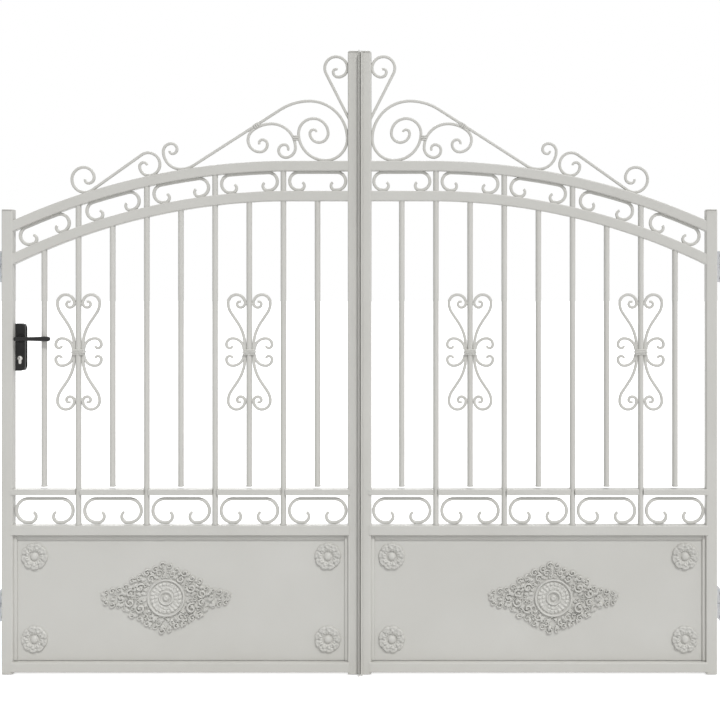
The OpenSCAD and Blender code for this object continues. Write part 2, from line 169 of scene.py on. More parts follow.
def seen_directly(tones):
    """1 on the rays that show the studio itself, straight, mirrored or through glass."""
    rays = tones.node("ShaderNodeLightPath")
    straight, mirrored, through = (Signal(tones, rays.outputs[f"Is {kind} Ray"])
                                   for kind in ("Camera", "Glossy", "Transmission"))
    return straight.most(mirrored).most(through)


FLOOR_REACH = 60
FLOOR_DROP = 0.0005
FLOOR_GREY = (0.80, 0.80, 0.80, 1)
FLOOR_GLOW = 0.68
AMBIENT_LEFT, AMBIENT_RIGHT = (0.30, 0.30, 0.303, 1), (0.78, 0.78, 0.787, 1)
WHITE = (1, 1, 1, 1)

floor_mesh = bpy.data.meshes.new("floor")
floor_z = cad_box[0].z - FLOOR_DROP
floor_mesh.from_pydata([(x * FLOOR_REACH, y * FLOOR_REACH, floor_z)
                        for x, y in ((-1, -1), (1, -1), (1, 1), (-1, 1))], [], [(0, 1, 2, 3)])
floor = added("floor", floor_mesh)

floor_tones = Tones(bpy.data.materials.new("studio_floor"))
matt = floor_tones.signal("ShaderNodeBsdfDiffuse", 0, _0=FLOOR_GREY)
glow = floor_tones.signal("ShaderNodeEmission", 0, _0=WHITE, _1=FLOOR_GLOW)
lit = floor_tones.signal("ShaderNodeAddShader", 0, _0=matt, _1=glow)
floor_tones.node("ShaderNodeOutputMaterial", Surface=floor_tones.signal(
    "ShaderNodeMixShader", 0, _0=seen_directly(floor_tones), _1=matt, _2=lit))
floor_mesh.materials.append(floor_tones.owner)

world = bpy.data.worlds.new("studio")
bpy.context.scene.world = world
sky = Tones(world)
outward = sky.signal("ShaderNodeTexCoord", "Generated")
rightward = sky.signal("ShaderNodeSeparateXYZ", "X", Vector=outward)
dim, bright, white = (sky.signal("ShaderNodeBackground", 0, _0=colour, _1=1.0)
                      for colour in (AMBIENT_LEFT, AMBIENT_RIGHT, WHITE))
ambient = sky.signal("ShaderNodeMixShader", 0, _0=rightward * 0.5 + 0.5, _1=dim, _2=bright)
sky.node("ShaderNodeOutputWorld", Surface=sky.signal(
    "ShaderNodeMixShader", 0, _0=seen_directly(sky), _1=ambient, _2=white))

for lamp_name, strength, spread, towards in (
        ("key", 1.72, 0.12, (-0.30, 0.70, -0.88)),
        ("rear_fill", 0.55, 0.60, (0.25, -1.0, -0.45))):
    lamp_data = bpy.data.lights.new(lamp_name, "SUN")
    lamp_data.energy = strength
    lamp_data.angle = spread
    lamp = added(lamp_name, lamp_data)
    lamp.rotation_euler = Vector(towards).to_track_quat("-Z", "Y").to_euler()

# ---- Stiles and their caps -------------------------------------------------------------------
# The four uprights are 34 by 40 mm aluminium box tube with rounded corners, closed by pressed caps
# and finished in a light grey powder coat with a fine satin grain.


def powder_coat():
    tones = Tones(bpy.data.materials.new("powder_coat"))
    place = tones.signal("ShaderNodeTexCoord", "Object")
    grain, peel = tones.noise(place, 1400.0, 2.0), tones.noise(place, 260.0, 1.0)
    cloud, speck = tones.noise(place, 3.1, 3.0), tones.noise(place, 420.0, 0.0)
    smudge = tones.noise(place, 17.0, 4.0)
    high = tones.signal("ShaderNodeSeparateXYZ", "Z", Vector=place)
    # Darker and a little browner towards the bottom: over the lowest 16 cm the coat is blended, in noisy
    # patches, towards a darker brownish grey.
    bottom_darkening = tones.signal("ShaderNodeMapRange", "Result", Value=high, From_Min=floor_z,
                        From_Max=floor_z + 0.16, To_Min=0.32, To_Max=0.0)
    coat = tones.signal("ShaderNodeValToRGB", "Color", {"stops": [
        (0.30, (0.545, 0.539, 0.507, 1)), (0.70, (0.584, 0.579, 0.549, 1))]},
        Fac=cloud * 0.8 + grain * 0.2)
    flecked = tones.blend((speck > 0.69) * 0.10, coat, (0.40, 0.395, 0.375, 1))
    bottom_darkened = tones.blend(bottom_darkening * smudge, flecked, (0.47, 0.45, 0.40, 1))
    texture = tones.signal("ShaderNodeBump", 0, Strength=0.35, Distance=0.00025,
                           Height=grain * 0.35 + peel * 0.65)
    return tones.finish(Base_Color=bottom_darkened, Normal=texture, Specular_IOR_Level=0.42,
                        Roughness=0.40 + (smudge - 0.5) * 0.16 + (grain - 0.5) * 0.08)


class Leaf:
    """One leaf. In mm, its x runs from the hinge stile's outer face and its z from that tube's end."""

    def __init__(self, side):
        self.side = side
        self.body = side + "_leaf"
        low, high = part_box(side + "_hinge_stile")
        self.sign = 1 if side == "left" else -1
        self.outer_x = low.x if side == "left" else high.x
        self.foot_z = low.z
        near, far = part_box(side + "_meeting_stile")
        self.width = 1000 * abs((far.x if side == "left" else near.x) - self.outer_x)

    def at(self, x, y, z):
        return Vector((self.outer_x + self.sign * x / 1000, y / 1000, self.foot_z + z / 1000))

    def span(self, node):
        """The node's box in the leaf's own x and z and in y, in mm."""
        low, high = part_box(node)
        ends = sorted(1000 * self.sign * (v.x - self.outer_x) for v in (low, high))
        return ends, (1000 * low.y, 1000 * high.y), [1000 * (v.z - self.foot_z) for v in (low, high)]

    def block(self, low, high, bevel):
        """A slab between two corners in the leaf's own mm."""
        corners = self.at(*low), self.at(*high)
        return slab([min(c) for c in zip(*corners)], [max(c) for c in zip(*corners)], bevel)


class Growth(Tones):
    """A Geometry Nodes tree being wired up, with its inputs as signals by name."""

    def __init__(self, name, **inputs):
        self.tree = bpy.data.node_groups.new(name, "GeometryNodeTree")
        kinds = {"Geometry": "Geometry", **inputs, "Material": "Material"}
        for label, kind in kinds.items():
            self.tree.interface.new_socket(label, in_out="INPUT", socket_type="NodeSocket" + kind)
        self.tree.interface.new_socket("Geometry", in_out="OUTPUT",
                                       socket_type="NodeSocketGeometry")
        outputs = self.node("NodeGroupInput").outputs
        self.given = {label: Signal(self, outputs[label]) for label in kinds}

    def attribute(self, name):
        return self.signal("GeometryNodeInputNamedAttribute", 0, {"data_type": "FLOAT"}, Name=name)

    def swept(self, line, section, **sockets):
        return self.signal("GeometryNodeCurveToMesh", 0, Curve=line, Profile_Curve=section,
                           Fill_Caps=True, **sockets)

    def copies(self, shape, turn, **sockets):
        """A shape on each given point, turned about y by the point's own attribute."""
        about_y = self.signal("ShaderNodeCombineXYZ", 0, Y=self.attribute(turn))
        return self.signal("GeometryNodeInstanceOnPoints", 0, Points=self.given["Geometry"],
                           Instance=shape, Rotation=about_y, **sockets)

    def closed(self, shape, sharp=None):
        """The tree, ended by real geometry that is smooth but for its sharp edges."""
        last = self.signal("GeometryNodeRealizeInstances", 0, _0=shape)
        last = self.signal("GeometryNodeSetShadeSmooth", 0, Geometry=last)
        if sharp:
            last = self.signal("GeometryNodeSetShadeSmooth", 0, {"domain": "EDGE"}, Geometry=last,
                               Selection=sharp, Shade_Smooth=False)
        self.node("NodeGroupOutput", _0=self.signal(
            "GeometryNodeSetMaterial", 0, Geometry=last, Material=self.given["Material"]))
        return self.tree


SHARP_EDGE = 0.75


def swept_bar_tree():
    """Follows each chain of edges with a bar of rounded rectangular section."""
    tree = Growth("swept_bar", Width="Float", Depth="Float", Corner="Float", Rounding="Int")
    outline = tree.signal("GeometryNodeCurvePrimitiveQuadrilateral", 0,
                          Width=tree.given["Width"], Height=tree.given["Depth"])
    rounded = tree.signal("GeometryNodeFilletCurve", 0, {"mode": "POLY"}, Curve=outline,
                          Count=tree.given["Rounding"], Radius=tree.given["Corner"],
                          Limit_Radius=True)
    line = tree.signal("GeometryNodeMeshToCurve", 0, Mesh=tree.given["Geometry"])
    steady = tree.signal("GeometryNodeSetCurveNormal", 0, {"mode": "FREE"}, Curve=line,
                         Normal=(0, 1, 0))
    sharp = tree.signal("FunctionNodeCompare", 0, {"data_type": "FLOAT", "operation": "GREATER_THAN"},
                        _0=tree.signal("GeometryNodeInputMeshEdgeAngle", 0), _1=SHARP_EDGE)
    return tree.closed(tree.swept(steady, rounded, Scale=tree.attribute("taper")), sharp)


def grown(name, points, edges, attributes, tree, settings, flats=True):
    """The plain object that a Geometry Nodes tree makes from points with a number on each."""
    mesh = bpy.data.meshes.new(name + "_path")
    mesh.from_pydata([tuple(p) for p in points], edges, [])
    for label, values in attributes.items():
        mesh.attributes.new(label, "FLOAT", "POINT").data.foreach_set("value", values)
    seed = added(name + "_path", mesh)
    modifier = seed.modifiers.new("grow", "NODES")
    modifier.node_group = tree
    sockets = {s.name: s.identifier for s in tree.interface.items_tree if s.in_out == "INPUT"}
    for label, value in settings.items():
        modifier[sockets[label]] = value
    if flats:
        seed.modifiers.new("flats", "WEIGHTED_NORMAL").keep_sharp = True
    graph = bpy.context.evaluated_depsgraph_get()
    made = bpy.data.meshes.new_from_object(seed.evaluated_get(graph), depsgraph=graph)
    bpy.data.objects.remove(seed)
    bpy.data.meshes.remove(mesh)
    made.name = name
    return added(name, made)


SWEPT_BAR = swept_bar_tree()
COAT = powder_coat()


def bars(name, paths, width, depth, corner, rounding=3, material=COAT, tapers=None):
    """Bars of one section along paths of points in metres. In mm, width lies along y."""
    points, edges, tapering = [], [], []
    for number, path in enumerate(paths):
        start = len(points)
        points += path
        edges += [(start + i, start + i + 1) for i in range(len(path) - 1)]
        tapering += tapers[number] if tapers else [1.0] * len(path)
    return grown(name, points, edges, {"taper": tapering}, SWEPT_BAR, {
        "Width": width / 1000, "Depth": depth / 1000, "Corner": corner / 1000,
        "Rounding": rounding, "Material": material})


def fixed(piece, body, *nodes, slot="powder_coat"):
    """Sets a piece on its body in the place of the CAD nodes that it stands for."""
    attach(piece, body)
    if nodes:
        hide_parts(*nodes)
    return piece


def slab(low, high, bevel, segments=3):
    """A block between two corners in metres with rounded edges, as a bmesh."""
    block = bmesh.new()
    size = [b - a for a, b in zip(low, high)]
    middle = [(a + b) / 2 for a, b in zip(low, high)]
    bmesh.ops.create_cube(block, size=1,
                          matrix=Matrix.Translation(middle) @ Matrix.Diagonal((*size, 1)))
    bmesh.ops.bevel(block, geom=block.edges[:], offset=bevel, segments=segments, profile=0.5,
                    affect="EDGES", clamp_overlap=True)
    return block


def joined(name, shapes, material, sharp_angle=40):
    """One object from several bmeshes, smooth except at its sharp edges."""
    whole = bmesh.new()
    for shape in shapes:
        part = bpy.data.meshes.new("part")
        shape.to_mesh(part)
        shape.free()
        whole.from_mesh(part)
        bpy.data.meshes.remove(part)
    bmesh.ops.recalc_face_normals(whole, faces=whole.faces[:])
    mesh = bpy.data.meshes.new(name)
    whole.to_mesh(mesh)
    whole.free()
    mesh.polygons.foreach_set("use_smooth", [True] * len(mesh.polygons))
    mesh.set_sharp_from_angle(angle=math.radians(sharp_angle))
    mesh.materials.append(material)
    return added(name, mesh)


LEAVES = [Leaf("left"), Leaf("right")]
STILE_W = 34
STILE_CORNER = 5
CAP_T = 3
CAP_EDGE = 0.0011

for leaf in LEAVES:
    for stile in ("hinge_stile", "meeting_stile"):
        (x0, x1), (y0, y1), (z0, z1) = leaf.span(f"{leaf.side}_{stile}")
        middle = (x0 + x1) / 2, (y0 + y1) / 2
        tube = bars(f"{leaf.side}_{stile}_tube",
                    [[leaf.at(*middle, z) for z in (z0, z1)]], x1 - x0, y1 - y0, STILE_CORNER, 5)
        fixed(tube, leaf.body, f"{leaf.side}_{stile}")
    cap_node = leaf.side + "_stile_caps"
    _, (y0, y1), (_, meeting_top) = leaf.span(cap_node)
    hinge_top = leaf.span(leaf.side + "_hinge_stile")[2][1] + CAP_T
    caps = [leaf.block((x, y0, base), (x + STILE_W, y1, base + CAP_T), CAP_EDGE)
            for x, top in ((0, hinge_top), (leaf.width - STILE_W, meeting_top))
            for base in (0, top - CAP_T)]
    fixed(joined(leaf.side + "_end_caps", caps, COAT), leaf.body, cap_node)

# ---- Level rails and panel edging ------------------------------------------------------------
# The bottom and panel rails are 40 mm box tube, cut between the stiles and welded. The middle rail
# is a slimmer tube in lengths between the long bars.

BAR_COUNT = 9
BAR_D = 20
WELD_IN = 3
BEAD_W = 14
BEAD_EDGE = 0.002


def bar_x(leaf, number):
    """Centre of an upright bar, with equal clear gaps from stile to stile."""
    gap = (leaf.width - 2 * STILE_W - BAR_COUNT * BAR_D) / (BAR_COUNT + 1)
    return STILE_W + number * (gap + BAR_D) - BAR_D / 2


for leaf in LEAVES:
    for rail in ("bottom_rail", "panel_rail"):
        (x0, x1), (y0, y1), (z0, z1) = leaf.span(f"{leaf.side}_{rail}")
        y, z = (y0 + y1) / 2, (z0 + z1) / 2
        tube = bars(f"{leaf.side}_{rail}_tube",
                    [[leaf.at(x0 - WELD_IN, y, z), leaf.at(x1 + WELD_IN, y, z)]], z1 - z0, y1 - y0, 4, 4)
        fixed(tube, leaf.body, f"{leaf.side}_{rail}")
    (x0, x1), (y0, y1), (z0, z1) = leaf.span(leaf.side + "_mid_rail")
    y, z = (y0 + y1) / 2, (z0 + z1) / 2
    ends = [x0 - WELD_IN - BAR_D / 2, *(bar_x(leaf, i) for i in (2, 4, 6, 8)),
            x1 + WELD_IN + BAR_D / 2]
    lengths = [[leaf.at(a + BAR_D / 2 - 2, y, z), leaf.at(b - BAR_D / 2 + 2, y, z)]
               for a, b in zip(ends, ends[1:])]
    fixed(bars(leaf.side + "_mid_rail_tube", lengths, z1 - z0, y1 - y0, 3, 4),
          leaf.body, leaf.side + "_mid_rail")

    (x0, x1), (y0, y1), (z0, z1) = leaf.span(leaf.side + "_panel_beads")
    edging = [leaf.block((a, y0, low), (b, y1 + 1, z1), BEAD_EDGE)
              for a, b, low in ((x0, x0 + BEAD_W, z0), (x1 - BEAD_W, x1, z0),
                                (x0 + BEAD_W, x1 - BEAD_W, z1 - BEAD_W))]
    fixed(joined(leaf.side + "_panel_edging", edging, COAT), leaf.body, leaf.side + "_panel_beads")

# ---- Arched rails ----------------------------------------------------------------------------
# Two tubes bent to arcs about one centre, level over the last stretch to the meeting stile. They
# are notched to the stiles and welded.

HALF_W = 1250
LEVEL_RUN = 246
ARCH_H = 32
ARCH_BAND = 73
ARCH_TOP_R = 2350
LOWER_TOP_R = ARCH_TOP_R - ARCH_H - ARCH_BAND
ARCH_NOTCH = 11
ARCH_STEPS = 40


def arch_centre(leaf):
    """The arcs' centre, under the place where the level stretch starts."""
    return HALF_W - LEVEL_RUN, leaf.span(leaf.side + "_top_arch")[2][1] - ARCH_TOP_R


def arch_height(leaf, radius, x):
    cx, cz = arch_centre(leaf)
    return cz + (math.sqrt(radius ** 2 - (cx - x) ** 2) if x < cx else radius)


for leaf in LEAVES:
    for arch, top_radius in (("top_arch", ARCH_TOP_R), ("lower_arch", LOWER_TOP_R)):
        _, (y0, y1), _ = leaf.span(f"{leaf.side}_{arch}")
        y = (y0 + y1) / 2
        cx, cz = arch_centre(leaf)
        radius = top_radius - ARCH_H / 2
        lean = math.asin((cx - STILE_W + ARCH_NOTCH) / radius)
        turns = [lean * (1 - k / ARCH_STEPS) for k in range(ARCH_STEPS + 1)]
        path = [leaf.at(cx - radius * math.sin(t), y, cz + radius * math.cos(t)) for t in turns]
        path.append(leaf.at(leaf.width - STILE_W + WELD_IN, y, cz + radius))
        fixed(bars(f"{leaf.side}_{arch}_tube", [path], ARCH_H, y1 - y0, 4, 4),
              leaf.body, f"{leaf.side}_{arch}")

# ---- Upright bars ----------------------------------------------------------------------------
# Round 20 mm tubes. The long ones run from the panel rail and pass in front of the middle rail; the
# short ones stand on it. Each end is closed by a rippled weld that turns with the rail's slope.


def round_bar_tree(ring):
    """Makes a round tube on each upright edge and sets a weld ring at both its ends."""
    tree = Growth("round_bars", Diameter="Float", Sides="Int")
    section = tree.signal("GeometryNodeCurvePrimitiveCircle", 0, Resolution=tree.given["Sides"],
                          Radius=tree.given["Diameter"] * 0.5)
    tubes = tree.swept(tree.signal("GeometryNodeMeshToCurve", 0, Mesh=tree.given["Geometry"]), section)
    welds = tree.copies(tree.signal("GeometryNodeObjectInfo", "Geometry", Object=ring), "lean")
    both = tree.node("GeometryNodeJoinGeometry", _0=tubes)
    tree.tree.links.new(welds.socket, both.inputs[0])
    return tree.closed(Signal(tree, both.outputs[0]))


def weld_ring(radius, bead, ripples, around=54, sides=8):
    """A ring of overlapping weld ripples about the z axis, in metres."""
    points, faces = [], []
    for i in range(around):
        turn = 2 * math.pi * i / around
        size = bead * (0.82 + 0.18 * abs(math.sin(ripples * turn / 2)))
        for k in range(sides):
            roll = 2 * math.pi * k / sides
            reach = radius + size * math.cos(roll)
            points.append((reach * math.cos(turn), reach * math.sin(turn), size * math.sin(roll)))
            after = (i + 1) % around
            faces.append((i * sides + k, after * sides + k, after * sides + (k + 1) % sides,
                          i * sides + (k + 1) % sides))
    mesh = bpy.data.meshes.new("weld_ring")
    mesh.from_pydata(points, [], faces)
    return added("weld_ring", mesh)


ring = weld_ring(radius=0.0102, bead=0.0019, ripples=18)
ROUND_BARS = round_bar_tree(ring)


def arch_lean(leaf, radius, x):
    cx, _ = arch_centre(leaf)
    return -leaf.sign * math.asin(max(0, cx - x) / radius)


def round_bars(leaf, name, lengths, node):
    """Tubes at (x, y), each from one (height, lean) to the next, joined into one piece."""
    points, leans = [], []
    for x, y, (low, low_lean), (high, high_lean) in lengths:
        points += [leaf.at(x, y, low), leaf.at(x, y, high)]
        leans += [low_lean, high_lean]
    piece = grown(name, points, [(i, i + 1) for i in range(0, len(points), 2)], {"lean": leans},
                  ROUND_BARS, {"Diameter": BAR_D / 1000, "Sides": 40, "Material": COAT})
    return fixed(piece, leaf.body, node)


for leaf in LEAVES:
    _, (y0, y1), _ = leaf.span(leaf.side + "_long_balusters")
    y = (y0 + y1) / 2
    stand = leaf.span(leaf.side + "_mid_rail")[2][1]
    foot = leaf.span(leaf.side + "_panel_rail")[2][1]
    short, long = [], []
    for number in range(1, BAR_COUNT + 1):
        x = bar_x(leaf, number)
        under = arch_height(leaf, LOWER_TOP_R - ARCH_H, x)
        under_end = (under, arch_lean(leaf, LOWER_TOP_R - ARCH_H, x))
        if number % 2:
            short.append((x, y, (stand, 0), under_end))
        else:
            long.append((x, y, (foot, 0), under_end))
            long.append((x, y, (arch_height(leaf, LOWER_TOP_R, x), arch_lean(leaf, LOWER_TOP_R, x)),
                         (arch_height(leaf, ARCH_TOP_R - ARCH_H, x),
                          arch_lean(leaf, ARCH_TOP_R - ARCH_H, x))))
    round_bars(leaf, leaf.side + "_short_bars", short, leaf.side + "_short_balusters")
    round_bars(leaf, leaf.side + "_long_bars", long, leaf.side + "_long_balusters")
bpy.data.objects.remove(ring)

# ---- Scrolls of the two bands ----------------------------------------------------------------
# Each bay of the lower band and of the arched band holds one scroll of 11 mm bar: a straight back
# under the upper rail, and both ends rolled down and in.

BAND_BAR = 11


def chain_path(chain, x, z, heading, step=5, close_end=0.82, run_out=28):
    """Points and tapers of a bar that goes straight or turns left by degrees about each radius."""
    points = [(x, z)]
    lengths = [0.0]
    aim = math.radians(heading)
    for reach, turn in chain:
        pieces = max(1, math.ceil(abs(turn) / step)) if turn else max(1, round(reach / 40))
        side = 1 if turn > 0 else -1
        start_x, start_z, start = x, z, aim
        for k in range(1, pieces + 1):
            if turn:
                aim = start + math.radians(turn) * k / pieces
                x = start_x + side * reach * (math.sin(aim) - math.sin(start))
                z = start_z - side * reach * (math.cos(aim) - math.cos(start))
            else:
                x = start_x + reach * k / pieces * math.cos(aim)
                z = start_z + reach * k / pieces * math.sin(aim)
            lengths.append(lengths[-1] + math.dist(points[-1], (x, z)))
            points.append((x, z))
    whole = lengths[-1]
    tapers = [1 - (1 - close_end) * max(0, 1 - (whole - at) / run_out) for at in lengths]
    return points, tapers


def band_scroll(length, height):
    """The right half of a band scroll, from the middle of its back to its rolled end."""
    turn_r = (height - BAND_BAR) / 2
    curl = turn_r * 0.51
    return chain_path([(length / 2 - height / 2, 0), (turn_r, -180), (turn_r * 0.15, 0), (curl, -90),
                       (curl * 0.8, -60)], 0, height - BAND_BAR / 2, 0)


def whole_scroll(length, height):
    points, tapers = band_scroll(length, height)
    left = [(-x, z) for x, z in reversed(points[1:])]
    return left + points, tapers[:0:-1] + tapers


for leaf in LEAVES:
    _, (y0, y1), (z0, z1) = leaf.span(leaf.side + "_lower_scrolls")
    y = (y0 + y1) / 2
    bay = bar_x(leaf, 3) - bar_x(leaf, 1) - BAR_D
    low_paths, low_tapers, high_paths, high_tapers = [], [], [], []
    cx, cz = arch_centre(leaf)
    middle_r = LOWER_TOP_R + ARCH_BAND / 2
    for number in range(1, BAR_COUNT + 1, 2):
        at = bar_x(leaf, number)
        points, tapers = whole_scroll(bay - 10, z1 - z0)
        low_paths.append([leaf.at(at + x, y, z0 + z) for x, z in points])
        low_tapers.append(tapers)
        slope = math.asin((cx - at) / LOWER_TOP_R) if at < cx else 0
        start = math.asin((cx - at) / middle_r) if at < cx else 0
        points, tapers = whole_scroll(bay * math.cos(slope) - 12, ARCH_BAND)
        path = []
        for x, z in points:
            turn = start - x / middle_r
            if at < cx and turn > 0:
                path.append(leaf.at(cx - (LOWER_TOP_R + z) * math.sin(turn), y,
                                    cz + (LOWER_TOP_R + z) * math.cos(turn)))
            else:
                path.append(leaf.at(cx - turn * middle_r + (0 if at < cx else at - cx), y,
                                    cz + LOWER_TOP_R + z))
        high_paths.append(path)
        high_tapers.append(tapers)
    fixed(bars(leaf.side + "_band_scrolls", low_paths, BAND_BAR, BAND_BAR, 3.4, 4, tapers=low_tapers),
          leaf.body, leaf.side + "_lower_scrolls")
    fixed(bars(leaf.side + "_arched_band_scrolls", high_paths, BAND_BAR, BAND_BAR, 3.4, 4,
               tapers=high_tapers), leaf.body, leaf.side + "_arch_scrolls")

# ---- Heart scrolls ---------------------------------------------------------------------------
# On the second and the seventh bar, four long scrolls of 10 mm bar make two hearts point to point,
# four small ones fill the sides, and a forged collar binds them all to the bar.

FINE_BAR = 10
HEART_BARS = (2, BAR_COUNT - 2)


def collar(centre, size, turn, bands=3):
    """A collar of soft rounded bands about crossing bars, in metres, turned in the gate's plane."""
    shapes = []
    width, depth, height = size
    for k in range(bands):
        swell = 1.0 if k == bands // 2 else 0.90
        low = (-width * swell / 2, -depth * swell / 2, -height / 2 + height * k / bands)
        high = (width * swell / 2, depth * swell / 2, -height / 2 + height * (k + 1) / bands)
        band = slab(low, high, min(height / bands, depth) * 0.42, 4)
        bmesh.ops.transform(band, matrix=Matrix.Translation(centre) @ Matrix.Rotation(turn, 4, "Y"),
                            verts=band.verts[:])
        shapes.append(band)
    return shapes


def knob(centre, radius):
    """A small forged ball where two bars touch."""
    ball = bmesh.new()
    bmesh.ops.create_uvsphere(ball, u_segments=20, v_segments=12, radius=radius,
                              matrix=Matrix.Translation(centre))
    return ball


for leaf in LEAVES:
    (_, _), (y0, y1), (z0, z1) = leaf.span(leaf.side + "_heart_scrolls")
    y, mid_z = (y0 + y1) / 2, (z0 + z1) / 2
    start = (BAR_D + FINE_BAR) / 2
    long_part = chain_path([(19, 0), (152, -34), (40, 0), (62, 34), (29.5, 180), (15.5, 90), (12, 90),
                            (8, 90), (6, 0)], start, 0, 90)
    side_part = chain_path([(39, -90), (22, -90), (12, -90), (9, -80)], start + 4, 9, 90)
    paths, tapers, shapes = [], [], []
    for number in HEART_BARS:
        at = bar_x(leaf, number)
        for flip_x in (1, -1):
            for flip_z in (1, -1):
                for points, thin in (long_part, side_part):
                    paths.append([leaf.at(at + flip_x * x, y, mid_z + flip_z * z) for x, z in points])
                    tapers.append(thin)
                late = long_part[0][len(long_part[0]) // 2:]
                touch = min(late, key=lambda p: p[0])
                shapes.append(knob(leaf.at(at + flip_x * (BAR_D / 2 + 1), y, mid_z + flip_z * touch[1]),
                                   0.0055))
        shapes += collar(leaf.at(at, y, mid_z), (0.046, 0.028, 0.020), 0)
    fixed(bars(leaf.side + "_heart_bars", paths, FINE_BAR, FINE_BAR, 3.2, 4, tapers=tapers),
          leaf.body, leaf.side + "_heart_scrolls")
    fixed(joined(leaf.side + "_heart_collars", shapes, COAT), leaf.body)

# ---- Crest -----------------------------------------------------------------------------------
# Free scrolls of 10 mm bar stand on the arch and climb to the meeting stile, bound by two knotted
# collars where they cross. A finial loop leans against the stile.

CREST_RISE = FINE_BAR / 2


def crest_chains(leaf):
    small_x, large_x = HALF_W - 965, HALF_W - 628
    small_z = arch_height(leaf, ARCH_TOP_R, small_x) + CREST_RISE
    large_z = arch_height(leaf, ARCH_TOP_R, large_x) + CREST_RISE
    stile_x = leaf.width - STILE_W
    return [
        ([(42, 35.4), (214, 0), (40, -35.4), (41, -90), (39, -90), (32, -90), (14, -90), (12, -80)],
         small_x, small_z, 0),
        ([(46, -90), (42, -90), (36, -90), (20, -90), (12, -100)], small_x, small_z, 180),
        ([(80, 32.7), (364, 0), (189, -32.7), (132.4, -90), (76, -90), (95, -90), (52, -90), (52, -90),
          (32, -90), (32, -90), (13, -90), (10, -80)], large_x, large_z, 0),
        ([(62, -90), (28, -90), (20, -90), (16, -90), (10, -90)], large_x, large_z, 180),
        ([(84, -90), (34, -90), (25, -90), (20, -90), (14, -120)], HALF_W - 310, 1928, 0),
        ([(105, 40), (42, 50), (42, 90), (26, 90), (17, 90), (12, 110)], HALF_W - 310, 1928, 180),
        ([(178, 0), (42, -26.9), (40, -90), (39.7, -90), (32, -90), (18, -90), (10, -120)],
         stile_x, 1946, 116.9)]


for leaf in LEAVES:
    _, (y0, y1), _ = leaf.span(leaf.side + "_crest_scrolls")
    y = (y0 + y1) / 2
    paths, tapers, knots = [], [], []
    for chain, x, z, heading in crest_chains(leaf):
        points, thin = chain_path(chain, x, z, heading)
        paths.append([leaf.at(px, y, pz) for px, pz in points])
        tapers.append(thin)
    for x, z, size, turn in ((HALF_W - 362, 1922, (0.018, 0.018, 0.022), math.radians(57)),
                             (HALF_W - 225, 1878, (0.022, 0.018, 0.018), 0)):
        knots += collar(leaf.at(x, y, z), size, leaf.sign * turn)
    fixed(bars(leaf.side + "_crest_bars", paths, FINE_BAR, FINE_BAR, 3.4, 4, tapers=tapers),
          leaf.body, leaf.side + "_crest_scrolls")
    fixed(joined(leaf.side + "_crest_knots", knots, COAT), leaf.body)

# ---- Panels ----------------------------------------------------------------------------------
# A double-skinned sheet closes the foot of each leaf. It is set back between the rails and the
# stiles and coated with them.

for leaf in LEAVES:
    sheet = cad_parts[leaf.side + "_panel"]
    sheet.data.materials.clear()
    sheet.data.materials.append(COAT)

# ---- Corner rosettes -------------------------------------------------------------------------
# Cast aluminium rosettes, fixed to the panel's corners before coating: nine puffed petals, a row of
# small ones between them, and a domed boss in a deep groove.

ROSETTE_R = 47
PETALS = 9


def bump(at, centre, half):
    """A rounded ridge: 1 at its centre and 0 beyond its half width."""
    share = (at - centre) / half
    return math.sqrt(max(0.0, 1 - share * share))


def rosette_edge(turn):
    return ROSETTE_R * (0.92 + 0.08 * abs(math.cos(PETALS * turn / 2)) ** 0.5)


def rosette_rise(r, turn):
    petal = abs(math.cos(PETALS * turn / 2))
    between = abs(math.sin(PETALS * turn / 2))
    outer = bump(r, 37, 10) * (0.25 + 0.75 * petal ** 0.7)
    dimple = bump(r, 37.5, 4.5) * petal ** 5
    holes = bump(r, 31, 5) * between ** 3
    inner = bump(r, 25, 6) * (0.30 + 0.70 * abs(math.cos(PETALS * turn + 0.6)) ** 0.8)
    rib = abs(math.cos(PETALS * 3.5 * turn)) * bump(r, 36, 10)
    boss = bump(r, 0, 13.5)
    groove = 1.0 if 13 < r < 18 else 0.0
    return max(0.4, 2.6 + 7.2 * outer - 4.0 * dimple - 2.2 * holes + 5.6 * inner + 1.5 * rib
               + 7.6 * boss - 2.4 * groove)


def cast_relief(name, edge, rise, rings, around):
    """A closed relief on the xz plane, raised towards -y. Sizes are in mm, the mesh in metres."""
    points, faces = [(0, -rise(0, 0) / 1000, 0)], []
    for k in range(1, rings + 1):
        for i in range(around):
            turn = 2 * math.pi * i / around
            r = edge(turn) * k / rings
            height = rise(r, turn) * (1 if k < rings else 0.35)
            points.append((r * math.cos(turn) / 1000, -height / 1000, r * math.sin(turn) / 1000))
    back = len(points)
    points += [(x, 0.0003, z) for x, _, z in points[-around:]] + [(0, 0.0003, 0)]
    for i in range(around):
        after = (i + 1) % around
        faces.append((0, 1 + i, 1 + after))
        for k in range(rings):
            low = 1 + k * around
            faces.append((low + i, low + around + i, low + around + after, low + after))
        faces.append((back + i, back + around, back + after))
    mesh = bpy.data.meshes.new(name)
    mesh.from_pydata(points, [], faces)
    shape = bmesh.new()
    shape.from_mesh(mesh)
    bmesh.ops.recalc_face_normals(shape, faces=shape.faces[:])
    shape.to_mesh(mesh)
    shape.free()
    return added(name, mesh)


def placing_tree():
    """Sets one casting on every point, turned in the panel's plane and sized by the point."""
    tree = Growth("placed_castings", Casting="Object")
    casting = tree.signal("GeometryNodeObjectInfo", "Geometry", Object=tree.given["Casting"])
    return tree.closed(tree.copies(casting, "turn", Scale=tree.attribute("size")))


PLACING = placing_tree()


def placed(name, casting, places, material):
    """One piece of castings at (point, turn, size) places."""
    points, turns, sizes = zip(*places)
    return grown(name, points, [], {"turn": turns, "size": sizes}, PLACING,
                 {"Casting": casting, "Material": material}, flats=False)


